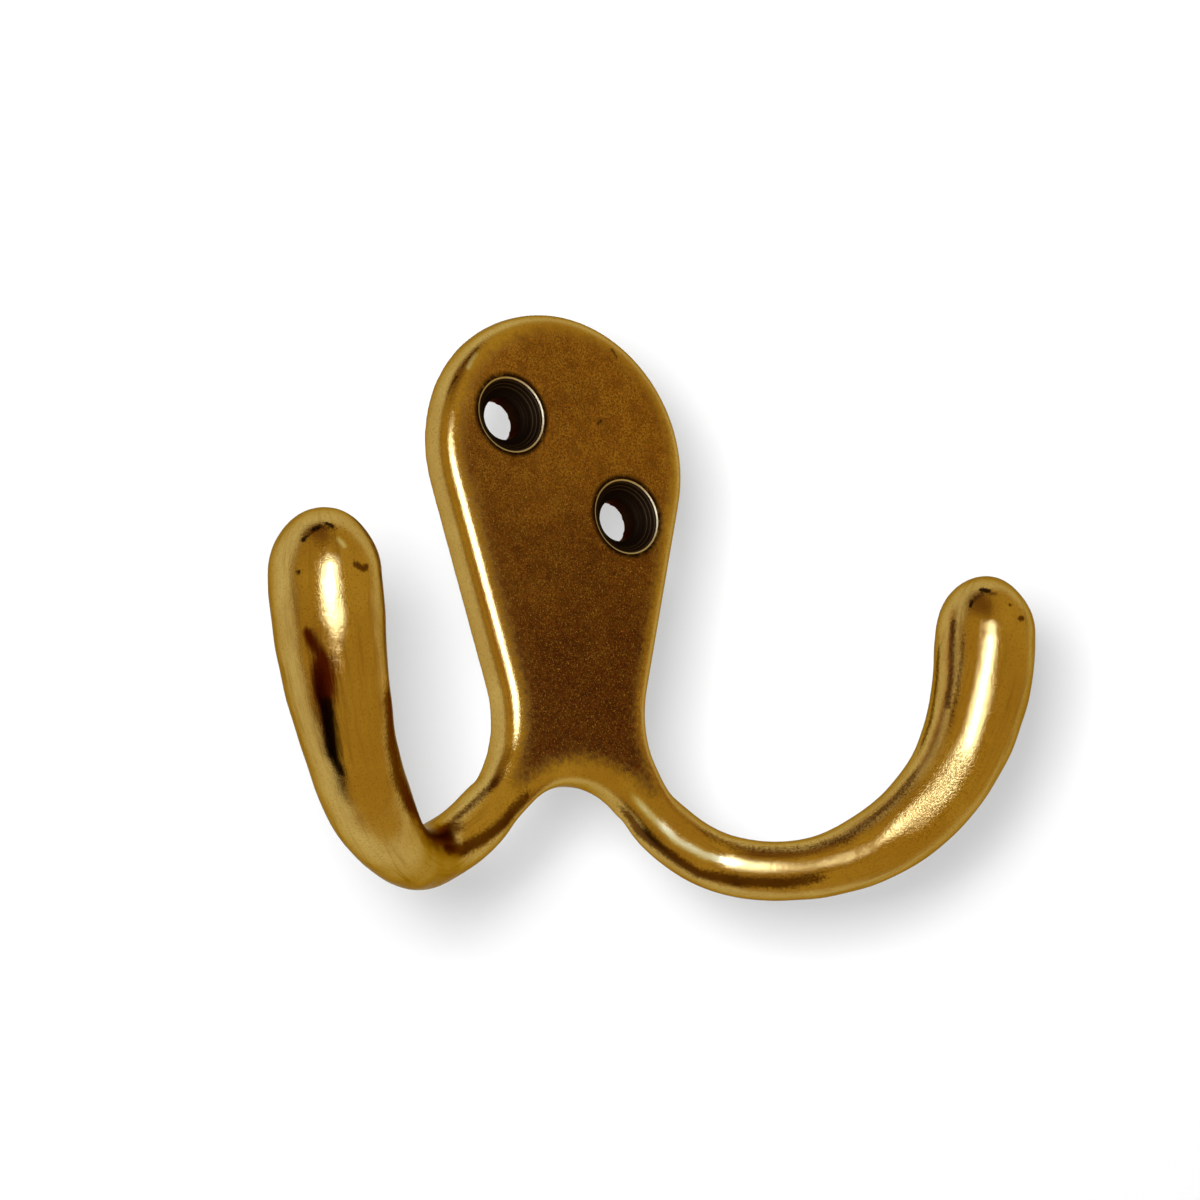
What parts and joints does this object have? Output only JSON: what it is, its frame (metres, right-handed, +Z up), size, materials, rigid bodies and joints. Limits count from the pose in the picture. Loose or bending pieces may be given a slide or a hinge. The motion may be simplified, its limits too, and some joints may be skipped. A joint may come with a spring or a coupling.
{
  "type": "double robe hook",
  "caption": "Forked wall hook cast in one piece: a keyhole-shaped back plate splits at its foot into round arms that bend forward and turn up into blunt tips, for robes and towels.",
  "frame": {"origin": "on the wall face, midway between the two screw holes", "axes": "+X to the viewer's right along the wall, -Y out of the wall towards the viewer, +Z up"},
  "size_m": [0.0756, 0.0223, 0.052],
  "materials": {
    "antique_brass": "antique brass, darkened on the plate's face and rubbed bright on the edges and arms"
  },
  "bodies": {
    "root": {"hook_casting": "antique_brass"}
  },
  "joints": []
}
